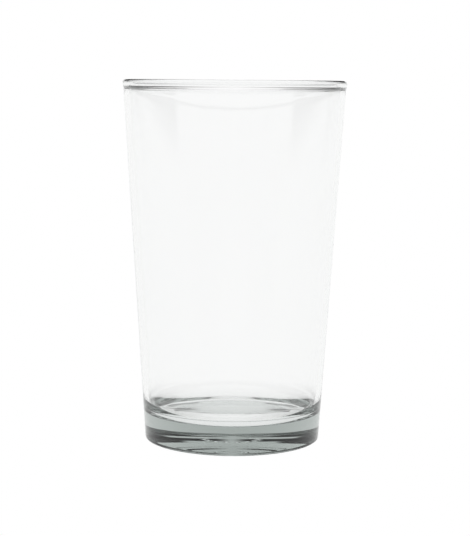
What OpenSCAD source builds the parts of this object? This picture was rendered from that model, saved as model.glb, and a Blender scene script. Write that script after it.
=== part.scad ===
// A straight-sided conical pint glass, pressed in one piece.
// Millimetres. The glass stands on z = 0 and its axis is the Z axis.

/* [Body] */
// Overall height, from the table to the top of the rim
height = 142; // [130:0.5:160]
// Outside diameter of the cone at the height of the rim
rim_d = 87.3; // [80:0.1:94]
// Outside diameter of the cone where it would meet the table
foot_d = 69; // [62:0.1:76]
// Radius that rounds the outside of the foot
heel_r = 1.0; // [1:0.1:4]

/* [Rim] */
// Thickness of the rounded bead that strengthens the rim
bead_t = 2.6; // [2.2:0.1:3.2]
// Height of the bead
bead_h = 3.6; // [3.3:0.1:5]
// How far the bead stands out from the outer cone
bead_out = 0.2; // [0.1:0.05:0.4]
// Radii of the hollows where the bead runs into the wall: outside and inside
out_blend_r = 1.8; // [1:0.1:3]
in_blend_r = 0.8; // [0.5:0.1:2]

/* [Wall] */
// Thickness of the wall just below the bead
wall_top_t = 1.75; // [1.4:0.05:1.9]
// Thickness of the wall just above the bottom of the cavity
wall_t = 2.1; // [1.9:0.1:4]

/* [Base] */
// Height of the cavity's lowest point above the table
base_t = 8.7; // [7:0.1:16]
// Radius of the round corner between the wall and the floor of the cavity
corner_r = 6.6; // [4:0.1:14]
// Radius of the shallow bowl that is the floor of the cavity
bowl_r = 190; // [100:10:400]

/* [Underside] */
// Diameter of the shallow dome that hollows the underside, inside the ring the glass stands on
hollow_d = 50; // [40:0.5:54]
// Depth of that dome at its middle
hollow_h = 2.3; // [0.6:0.1:3]

/* [Look] */
// Colour of the clear glass, and how much of it is seen
glass_tint = [0.93, 0.96, 0.95, 0.35];
// Number of segments in a full turn
segments = 192; // [96:32:256]

/* [Hidden] */

// Half the taper of the outer cone, and its radius at any height
lean = atan((rim_d - foot_d) / 2 / height);
function outer_x(z) = foot_d / 2 + z * tan(lean);

// The way up a wall that leans by a, and the way out of it, square to the wall
function up(a) = [sin(a), cos(a)];
function out(a) = [cos(a), -sin(a)];

// The circle that rounds the heel touches the outer cone from within
heel_c = [outer_x(heel_r) - heel_r / cos(lean), heel_r];

// The bead's section is two circles, one above the other, and the space between them
bead_r = bead_t / 2;
function bead_at(z) = [outer_x(z) - (bead_r - bead_out) / cos(lean), z];
bead_top = bead_at(height - bead_r);
bead_low = bead_at(height - bead_h + bead_r);

// The inner wall is a straight line, and the glass grows thicker towards the base
wall_foot = [outer_x(base_t + corner_r) - wall_t, base_t + corner_r];
wall_head = [outer_x(height - bead_h) - wall_top_t, height - bead_h];
inner_lean = atan2(wall_head[0] - wall_foot[0], wall_head[1] - wall_foot[1]);

// Centre of a circle of radius r that touches the straight wall through p, which leans by a,
// and touches the bead's lower circle from below; side is 1 outside the glass, -1 in the cavity
function blend_c(p, a, side, r) =
    let (off = side * (bead_low - p) * out(a), along = (bead_low - p) * up(a))
    p + side * r * out(a) + (along - sqrt(pow(bead_r + r, 2) - pow(r - off, 2))) * up(a);
out_blend_c = blend_c([outer_x(0), 0], lean, 1, out_blend_r);
in_blend_c = blend_c(wall_foot, inner_lean, -1, in_blend_r);

// The circle in the cavity's corner touches the inner wall, and touches the bowl from within:
// its centre lies on a line beside the wall, at bowl_r - corner_r from the bowl's centre
bowl_c = [0, base_t + bowl_r];
beside_wall = wall_foot - corner_r * out(inner_lean);
from_bowl = beside_wall - bowl_c;
halfway = -from_bowl * up(inner_lean);
slide = sqrt(halfway * halfway - from_bowl * from_bowl + pow(bowl_r - corner_r, 2)) - halfway;
corner_c = beside_wall - slide * up(inner_lean);
corner_touch = bowl_c + (corner_c - bowl_c) * bowl_r / (bowl_r - corner_r);

// Radius of the sphere that hollows the underside
hollow_r = (pow(hollow_d / 2, 2) + pow(hollow_h, 2)) / 2 / hollow_h;

// Round corners pass over the straight lines that they touch by this much, so that no sliver
// of a face is left between the two
hair = 0.001;

// Half of the section with straight lines for its arcs, up to the bead's lower circle
module straight_section() {
    polygon([
        [0, 0],
        [heel_c[0], 0],
        heel_c + heel_r * out(lean),
        out_blend_c - out_blend_r * out(lean),
        out_blend_c,
        bead_low,
        in_blend_c,
        in_blend_c + in_blend_r * out(inner_lean),
        corner_c + corner_r * out(inner_lean),
        corner_touch,
        [0, base_t]
    ]);
}

// The band between the bead's two circles
module bead_band() {
    polygon([
        bead_low + bead_r * out(lean),
        bead_top + bead_r * out(lean),
        bead_top - bead_r * out(lean),
        bead_low - bead_r * out(lean)
    ]);
}

// The bowl of the cavity's floor, up to where the corner takes over
module bowl_section() {
    intersection() {
        translate(bowl_c) circle(bowl_r, $fn = segments);
        square([rim_d, corner_touch[1]]);
    }
}

module glass_section() {
    difference() {
        union() {
            straight_section();
            bead_band();
            translate(heel_c) circle(heel_r + hair, $fn = segments);
            translate(bead_low) circle(bead_r + hair, $fn = segments);
            translate(bead_top) circle(bead_r + hair, $fn = segments);
        }
        translate(out_blend_c) circle(out_blend_r + hair, $fn = segments);
        translate(in_blend_c) circle(in_blend_r + hair, $fn = segments);
        translate(corner_c) circle(corner_r + hair, $fn = segments);
        bowl_section();
        translate([0, hollow_h - hollow_r]) circle(hollow_r, $fn = segments);
    }
}

module glass() {
    color(glass_tint) rotate_extrude($fn = segments) glass_section();
}

glass();
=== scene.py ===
# %% [markdown]
# # A pint glass, pressed in one piece
# This lesson builds a clear conical pint glass around its CAD model, and lights it as clear
# glass is lit in a studio. The CAD model gives the place and the size of everything, so it is
# loaded first, and its box gives the height of the glass and the level of its foot.

# %% Load the CAD model
import math

import bpy
from mathutils import Matrix, Vector


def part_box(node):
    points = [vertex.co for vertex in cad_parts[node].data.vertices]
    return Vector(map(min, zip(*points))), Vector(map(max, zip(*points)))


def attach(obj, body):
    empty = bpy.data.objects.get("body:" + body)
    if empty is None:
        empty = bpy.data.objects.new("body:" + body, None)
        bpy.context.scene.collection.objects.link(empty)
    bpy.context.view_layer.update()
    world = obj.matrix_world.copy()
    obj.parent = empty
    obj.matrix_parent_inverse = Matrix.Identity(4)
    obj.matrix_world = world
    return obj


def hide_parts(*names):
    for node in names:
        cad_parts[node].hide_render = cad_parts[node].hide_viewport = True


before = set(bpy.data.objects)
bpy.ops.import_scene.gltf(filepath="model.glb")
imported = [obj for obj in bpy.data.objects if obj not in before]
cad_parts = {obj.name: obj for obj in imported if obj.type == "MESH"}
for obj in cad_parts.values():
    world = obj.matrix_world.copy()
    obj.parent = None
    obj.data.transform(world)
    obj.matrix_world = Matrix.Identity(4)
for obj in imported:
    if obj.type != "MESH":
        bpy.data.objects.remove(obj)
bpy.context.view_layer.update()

MM = 0.001
WHITE = (1, 1, 1, 1)
OBJECT = 3              # the Texture Coordinate node's Object output
glass_low, glass_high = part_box("glass")
HEIGHT = glass_high[2] - glass_low[2]
FOOT_Z = glass_low[2]
print("the CAD glass is %.1f mm high and %.1f mm across"
      % (HEIGHT / MM, (glass_high[0] - glass_low[0]) / MM))

# %% [markdown]
# ## The camera
# The glass is seen from the front by a long lens, a little over half a metre away. The lens is
# at the height of the rim, so the rim closes to a line while the foot still shows as an
# ellipse. For that the camera is levelled on the rim and then tipped down.
# The camera's own axes are worked out here, because a roll about the line of sight is then one
# line of arithmetic: turn the right and up directions towards each other.

# %% Camera
DISTANCE = 4.3855 * HEIGHT      # from the glass's axis, level
TIP_DOWN = math.radians(6.7766)
TURN = math.radians(0.0637)
ROLL = math.radians(0.50)
LENS = 106.367                  # mm, on a 36 mm wide sensor


def add_camera():
    """A camera at the height of the rim, tipped down, turned and rolled a little."""
    bpy.ops.object.camera_add(location=(0, -DISTANCE, FOOT_Z + HEIGHT))
    camera = bpy.context.object
    camera.name = "camera"
    camera.data.lens = LENS
    camera.data.sensor_width = 36
    camera.data.clip_start = 0.01
    ahead = Vector((math.sin(TURN) * math.cos(TIP_DOWN),
                    math.cos(TURN) * math.cos(TIP_DOWN), -math.sin(TIP_DOWN)))
    right = Vector((math.cos(TURN), -math.sin(TURN), 0))
    above = right.cross(ahead)
    rolled_right = right * math.cos(ROLL) + above * math.sin(ROLL)
    rolled_up = above * math.cos(ROLL) - right * math.sin(ROLL)
    axes = Matrix((rolled_right, rolled_up, -ahead)).transposed()
    camera.matrix_world = Matrix.Translation(camera.location) @ axes.to_4x4()
    return camera


camera = add_camera()
bpy.context.scene.camera = camera
print("camera %.0f mm from the axis" % (DISTANCE / MM))

# %% [markdown]
# ## Writing materials
# A shader's sums are easier to read as Python than as a list of links. `Socket` wraps an
# output of a node, so that adding or multiplying two of them adds the Math node that does it.
# `Nodes.make` adds any other node from its type, its settings and its inputs.

# %% A small shader language


class Socket:
    """An output of a shader node that can be used in Python sums."""

    def __init__(self, nodes, output):
        self.nodes, self.output = nodes, output

    def __add__(self, other):
        return self.nodes.math("ADD", self, other)

    def __sub__(self, other):
        return self.nodes.math("SUBTRACT", self, other)

    def __rsub__(self, other):
        return self.nodes.math("SUBTRACT", other, self)

    def __mul__(self, other):
        return self.nodes.math("MULTIPLY", self, other)

    __radd__ = __add__
    __rmul__ = __mul__


class Nodes:
    """The node tree of a new material."""

    def __init__(self, name):
        self.material = bpy.data.materials.new(name)
        self.material.use_nodes = True
        self.tree = self.material.node_tree
        self.tree.nodes.clear()

    def make(self, kind, settings=None, inputs=None, output=0):
        """Add a node, set it, feed its inputs, and return one of its outputs."""
        node = self.tree.nodes.new("ShaderNode" + kind)
        for name, value in (settings or {}).items():
            setattr(node, name, value)
        for name, value in (inputs or {}).items():
            if isinstance(value, Socket):
                self.tree.links.new(value.output, node.inputs[name])
            else:
                node.inputs[name].default_value = value
        return Socket(self, node.outputs[output]) if node.outputs else None

    def math(self, operation, *values):
        """A Math node on sockets or numbers."""
        return self.make("Math", {"operation": operation}, dict(enumerate(values)))

    def finish(self, surface, volume=None):
        """Send a shader, and one for the inside if there is one, to the material's output."""
        shaders = {"Surface": surface}
        if volume:
            shaders["Volume"] = volume
        self.make("OutputMaterial", None, shaders)
        return self.material

print("shader language ready")

# %% [markdown]
# ## A pen for the section
# A glass like this is pressed in a mould and its rim is melted smooth, so every level cut
# through it is a pair of circles. The quick way to such a shape is to draw half of its section
# and spin that round the axis. The section itself is drawn as by hand: one vertex is extruded
# along the straight lines, and spun round a centre for the arcs. Solid bodies could also be
# joined and cut by booleans, but a drawn section keeps the rows of faces where the light needs
# them, close together in the curves and wide apart on the straight walls.

# %% The pen


class Pen:
    """Draws a line in the XZ plane from one vertex, which is extruded and spun on."""

    def __init__(self, name, start):
        bpy.ops.object.select_all(action="DESELECT")
        bpy.ops.mesh.primitive_plane_add(size=MM, location=(0, 0, 0))
        self.piece = bpy.context.object
        self.piece.name = self.piece.data.name = name
        bpy.ops.object.mode_set(mode="EDIT")
        bpy.ops.mesh.select_all(action="SELECT")
        bpy.ops.mesh.merge(type="CENTER")
        bpy.ops.transform.translate(value=(start.x, 0, start.y))
        self.at = start.copy()

    def line(self, end, steps=1):
        """Extrude straight to a point."""
        step = (end - self.at) / steps
        for _ in range(steps):
            bpy.ops.mesh.extrude_region_move(TRANSFORM_OT_translate={"value": (step.x, 0, step.y)})
        self.at = end.copy()

    def arc(self, centre, end, steps):
        """Spin round a centre to a point that is as far from it."""
        before, after = self.at - centre, end - centre
        turn = math.atan2(before.cross(after), before.dot(after))
        bpy.ops.mesh.spin(steps=steps, angle=abs(turn), center=(centre.x, 0, centre.y),
                          axis=(0, math.copysign(1, turn), 0))
        self.at = end.copy()


print("pen ready")

# %% [markdown]
# ## The section's sizes
# The sizes are the CAD model's own. The rim is a bead, a little thicker than the wall, that
# stands out inside and outside; the wall thickens towards the foot; the cavity has a round
# corner and a faintly bowled floor; and the underside is a shallow dome inside the ring that
# the glass stands on. That dome matters for the looks: it mirrors the back of the cavity's
# corner as a thin dark line low in the base.

# %% Sizes
TOP_R, FOOT_R = 43.65 * MM, 34.5 * MM           # the outer cone at the rim and at the table
HEEL_R = 1.0 * MM
BEAD_R, BEAD_H, BEAD_OUT = 1.3 * MM, 3.6 * MM, 0.2 * MM
OUT_BLEND_R, IN_BLEND_R = 1.8 * MM, 0.8 * MM    # where the bead runs into the wall
WALL_TOP, WALL_FOOT = 1.75 * MM, 2.1 * MM       # thickness of the wall
BASE, CORNER_R, BOWL_R = 8.7 * MM, 6.6 * MM, 190 * MM
HOLLOW_R, HOLLOW_H = 25 * MM, 2.3 * MM          # the dome of the underside
EDGE_R = 4 * MM                                 # softens the edge where the dome meets the ring
LEAN = math.atan2(TOP_R - FOOT_R, HEIGHT)


def up(lean):
    return Vector((math.sin(lean), math.cos(lean)))


def out(lean):
    return Vector((math.cos(lean), -math.sin(lean)))


def outer_x(z):
    return FOOT_R + z * math.tan(LEAN)


heel = Vector((outer_x(HEEL_R) - HEEL_R / math.cos(LEAN), HEEL_R))


def bead_at(z):
    return Vector((outer_x(z) - (BEAD_R - BEAD_OUT) / math.cos(LEAN), z))


bead_top, bead_low = bead_at(HEIGHT - BEAD_R), bead_at(HEIGHT - BEAD_H + BEAD_R)
wall_foot = Vector((outer_x(BASE + CORNER_R) - WALL_FOOT, BASE + CORNER_R))
wall_head = Vector((outer_x(HEIGHT - BEAD_H) - WALL_TOP, HEIGHT - BEAD_H))
rise = wall_head - wall_foot
IN_LEAN = math.atan2(rise.x, rise.y)


def blend(on_wall, lean, side, radius):
    """Centre of a circle that touches a leaning wall, and the bead's lower circle from below."""
    off = side * (bead_low - on_wall).dot(out(lean))
    along = (bead_low - on_wall).dot(up(lean))
    drop = math.sqrt((BEAD_R + radius) ** 2 - (radius - off) ** 2)
    return on_wall + side * radius * out(lean) + (along - drop) * up(lean)


def between(centre, radius, other, other_radius):
    """The point where two round arcs that touch from outside meet."""
    return centre + (other - centre) * radius / (radius + other_radius)


out_blend = blend(Vector((FOOT_R, 0)), LEAN, 1, OUT_BLEND_R)
in_blend = blend(wall_foot, IN_LEAN, -1, IN_BLEND_R)
print("walls lean by %.2f and %.2f degrees" % (math.degrees(LEAN), math.degrees(IN_LEAN)))

# %% [markdown]
# The cavity's corner is a circle that touches the inner wall and lies against the bowl of the
# floor from within, so its centre is found on a line beside the wall. The dome of the underside
# is part of a large sphere, and a small arc takes it down to the ring.

# %% The corner and the dome
bowl = Vector((0, BASE + BOWL_R))
beside = wall_foot - CORNER_R * out(IN_LEAN)
reach = -(beside - bowl).dot(up(IN_LEAN))
slide = math.sqrt(reach ** 2 - (beside - bowl).length_squared + (BOWL_R - CORNER_R) ** 2) - reach
corner = beside - slide * up(IN_LEAN)
corner_end = bowl + (corner - bowl) * BOWL_R / (BOWL_R - CORNER_R)
DOME_R = (HOLLOW_R ** 2 + HOLLOW_H ** 2) / 2 / HOLLOW_H
dome = Vector((0, HOLLOW_H - DOME_R))
edge = Vector((math.sqrt((DOME_R + EDGE_R) ** 2 - (EDGE_R - dome.y) ** 2), EDGE_R))
MARK_R = 9 * MM                                 # the part of the dome that has the relief


def on_dome(radius):
    return Vector((radius, dome.y + math.sqrt(DOME_R ** 2 - radius ** 2)))


print("dome of radius %.0f mm, corner %.1f mm from the axis" % (DOME_R / MM, corner.x / MM))

# %% [markdown]
# ## Draw the section and spin it
# The pen starts in the middle of the underside and goes out over the dome, round the heel, up
# the outside, over the rim and down the inside, to the middle of the cavity's floor. After the
# spin, the first and the last row lie on each other and each pole is a pile of vertices, so
# doubles are merged, and the faces are then turned outwards together.

# %% Spin the glass
ROUND = 256
pen = Pen("pint_glass", Vector((0, HOLLOW_H)))
pen.arc(dome, on_dome(MARK_R), 36)
pen.arc(dome, between(dome, DOME_R, edge, EDGE_R), 16)
pen.arc(edge, Vector((edge.x, 0)), 5)
pen.line(Vector((heel.x, 0)), 4)
pen.arc(heel, heel + HEEL_R * out(LEAN), 12)
pen.line(out_blend - OUT_BLEND_R * out(LEAN), 48)
pen.arc(out_blend, between(bead_low, BEAD_R, out_blend, OUT_BLEND_R), 6)
pen.arc(bead_low, bead_low + BEAD_R * out(LEAN), 6)
pen.line(bead_top + BEAD_R * out(LEAN))
pen.arc(bead_top, bead_top + BEAD_R * up(LEAN), 12)
pen.arc(bead_top, bead_top - BEAD_R * out(LEAN), 12)
pen.line(bead_low - BEAD_R * out(LEAN))
pen.arc(bead_low, between(bead_low, BEAD_R, in_blend, IN_BLEND_R), 8)
pen.arc(in_blend, in_blend + IN_BLEND_R * out(IN_LEAN), 8)
pen.line(corner + CORNER_R * out(IN_LEAN), 48)
pen.arc(corner, corner_end, 24)
pen.arc(bowl, Vector((0, BASE)), 36)
glass = pen.piece
bpy.ops.mesh.select_all(action="SELECT")
bpy.ops.mesh.spin(steps=ROUND, angle=2 * math.pi, center=(0, 0, 0), axis=(0, 0, 1))
bpy.ops.mesh.select_all(action="SELECT")
bpy.ops.mesh.remove_doubles(threshold=MM / 1000)
bpy.ops.mesh.normals_make_consistent(inside=False)
bpy.ops.object.mode_set(mode="OBJECT")
print("the glass has %d faces" % len(glass.data.polygons))

# %% [markdown]
# A pressed glass carries some relief in the middle of its underside, from the mould. Here it is
# a plain ring of pips, and stands for whatever a maker would put there. The vertices of each pip
# are selected by their distance from its middle and pulled down together.

# %% Pips under the base
PIPS = 14
PIP_RING = 7 * MM       # from the axis
PIP_R = 0.9 * MM
PIP_H = 0.3 * MM
middles = [Vector((math.cos(turn), math.sin(turn))) * PIP_RING
           for turn in (2 * math.pi * pip / PIPS for pip in range(PIPS))]
bpy.ops.object.mode_set(mode="EDIT")
bpy.ops.mesh.select_mode(type="VERT")
bpy.ops.mesh.select_all(action="DESELECT")
bpy.ops.object.mode_set(mode="OBJECT")
for vertex in glass.data.vertices:
    flat = vertex.co.xy
    if vertex.co.z < HOLLOW_H + PIP_H and flat.length < MARK_R:
        vertex.select = min((flat - middle).length for middle in middles) < PIP_R
bpy.ops.object.mode_set(mode="EDIT")
bpy.ops.transform.translate(value=(0, 0, -PIP_H))
bpy.ops.object.mode_set(mode="OBJECT")
print("%d pips, %d vertices pulled down" % (PIPS, sum(v.select for v in glass.data.vertices)))

bpy.ops.object.shade_smooth()
glass.location.z = 0
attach(glass, "root")
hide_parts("glass")

# %% [markdown]
# ## Clear glass
# Soda-lime glass bends light by an index of 1.52 and its surface is polished, with the very
# slight waves that the mould and the fire leave. It takes some light on the way through, set
# here to much more than real glass takes. That hardly shows across two thin walls, but in the
# base light goes a long way inside the glass, so the base is darker and shows from every side.

# %% Glass
IOR = 1.52
DENSITY = 15.0              # how much light the glass takes, per metre
SHADE = (0, 0.1, 0.06, 1)   # what it takes least of, a breath of green


def clear_glass():
    nodes = Nodes("clear_glass")
    place = nodes.make("TexCoord", output=OBJECT)
    stretched = nodes.make("Mapping", None, {"Vector": place, "Scale": (1, 1, 0.25)})
    waves = nodes.make("TexNoise", None, {"Vector": stretched, "Scale": 60.0, "Detail": 1.0})
    uneven = nodes.make("Bump", None, {"Height": waves, "Strength": 0.01, "Distance": 0.0005})
    surface = nodes.make("BsdfPrincipled", None, {
        "Base Color": WHITE, "Roughness": 0.0, "IOR": IOR,
        "Transmission Weight": 1.0, "Normal": uneven})
    inside = nodes.make("VolumeAbsorption", None, {"Color": SHADE, "Density": DENSITY})
    return nodes.finish(surface, inside)


glass.data.materials.clear()
glass.data.materials.append(clear_glass())

# %% [markdown]
# ## A white room with dark cards
# Clear glass is drawn by what stands round it, not by what shines on it. It stands in a white
# room, and it bends the black cards at the sides into its rim and its base. The cards are the
# same on the left and the right, with an opening straight behind. They are soft dark patches on
# the inside of one large white ball, which stays where it is in every view. The camera sees the
# white backdrop instead of the ball.

# %% Cards
FAR = 6.0           # metres from the glass to the cards
UNDER_FOOT = 0.02 * MM      # the table lies this far under the foot, so they don't touch
SIDE_FADE = 8       # degrees over which a card fades at its left and right edges
TOP_FADE = 3        # and at its top and bottom
# degrees to the right, from and to; degrees above level, from and to; and how bright it is
CARDS = (
    (3, 357, 10, 20, 0.0),
    (22, 338, 18, 35, 0.0),
    (35, 110, 5, 14, 0.0),
    (-110, -35, 5, 14, 0.0),
    (30, 120, 28, 45, 0.1),
    (-120, -30, 28, 45, 0.1),
)


def soft_edge(nodes, value, place, fade):
    """A soft edge: 0 outside, 1 inside, where a negative fade puts the inside below the place."""
    return nodes.make("MapRange", {"interpolation_type": "SMOOTHSTEP"},
                      {"Value": value, "From Min": place - fade / 2, "From Max": place + fade / 2})


def card_light(name, cards):
    """White light with a soft darker patch for each card."""
    nodes = Nodes(name)
    place = nodes.make("TexCoord", output=OBJECT)
    x, y, z = [nodes.make("SeparateXYZ", None, {"Vector": place}, axis) for axis in range(3)]
    height = nodes.math("ARCSINE", z * (1 / FAR)) * math.degrees(1)
    light = 1.0
    for left, right, low, high, level in cards:
        middle, half = math.radians((left + right) / 2), (right - left) / 2
        # the angle from the card's own middle never jumps from 180 to -180 on the card
        aside = x * math.cos(middle) - y * math.sin(middle)
        ahead = x * math.sin(middle) + y * math.cos(middle)
        angle = nodes.math("ABSOLUTE", nodes.math("ARCTAN2", aside, ahead)) * math.degrees(1)
        dark = soft_edge(nodes, angle, half, -SIDE_FADE) \
            * soft_edge(nodes, height, low, TOP_FADE) * soft_edge(nodes, height, high, -TOP_FADE)
        light = (1 - (1 - level) * dark) * light
    return nodes.finish(nodes.make("Emission", None, {"Color": light, "Strength": 1.0}))


bpy.ops.object.select_all(action="DESELECT")
bpy.ops.mesh.primitive_uv_sphere_add(segments=64, ring_count=32, radius=FAR, location=(0, 0, 0))
ball = bpy.context.object
ball.name = "card_ball"
bpy.ops.object.shade_smooth()
ball.data.materials.append(card_light("cards", CARDS))
ball.visible_camera = ball.visible_diffuse = ball.visible_shadow = False
print("%d cards round the glass" % len(CARDS))

# %% [markdown]
# ## The white table and backdrop
# The table glows evenly, as a light table does, and is as bright as the backdrop, so no line
# shows where they meet. The glass sees the table too, through its base.

# %% Table and backdrop


def white_light(name):
    """Plain white light, as bright as the backdrop."""
    nodes = Nodes(name)
    return nodes.finish(nodes.make("Emission", None, {"Color": WHITE, "Strength": 1.0}))


bpy.ops.object.select_all(action="DESELECT")
bpy.ops.mesh.primitive_circle_add(vertices=96, radius=FAR, fill_type="NGON",
                                  location=(0, 0, FOOT_Z - UNDER_FOOT))
table = bpy.context.object
table.name = "light_table"
table.data.materials.append(white_light("light_table"))

world = bpy.data.worlds.new("white_backdrop")
bpy.context.scene.world = world
world.use_nodes = True
backdrop = world.node_tree.nodes["Background"]
backdrop.inputs["Color"].default_value = WHITE
backdrop.inputs["Strength"].default_value = 1.0
scene = bpy.context.scene
scene.view_settings.view_transform = "Standard"
BOUNCES = 24        # light crosses the base many times before it leaves
scene.cycles.max_bounces = scene.cycles.transmission_bounces = scene.cycles.glossy_bounces = BOUNCES
print("table %.0f m across" % (2 * FAR))
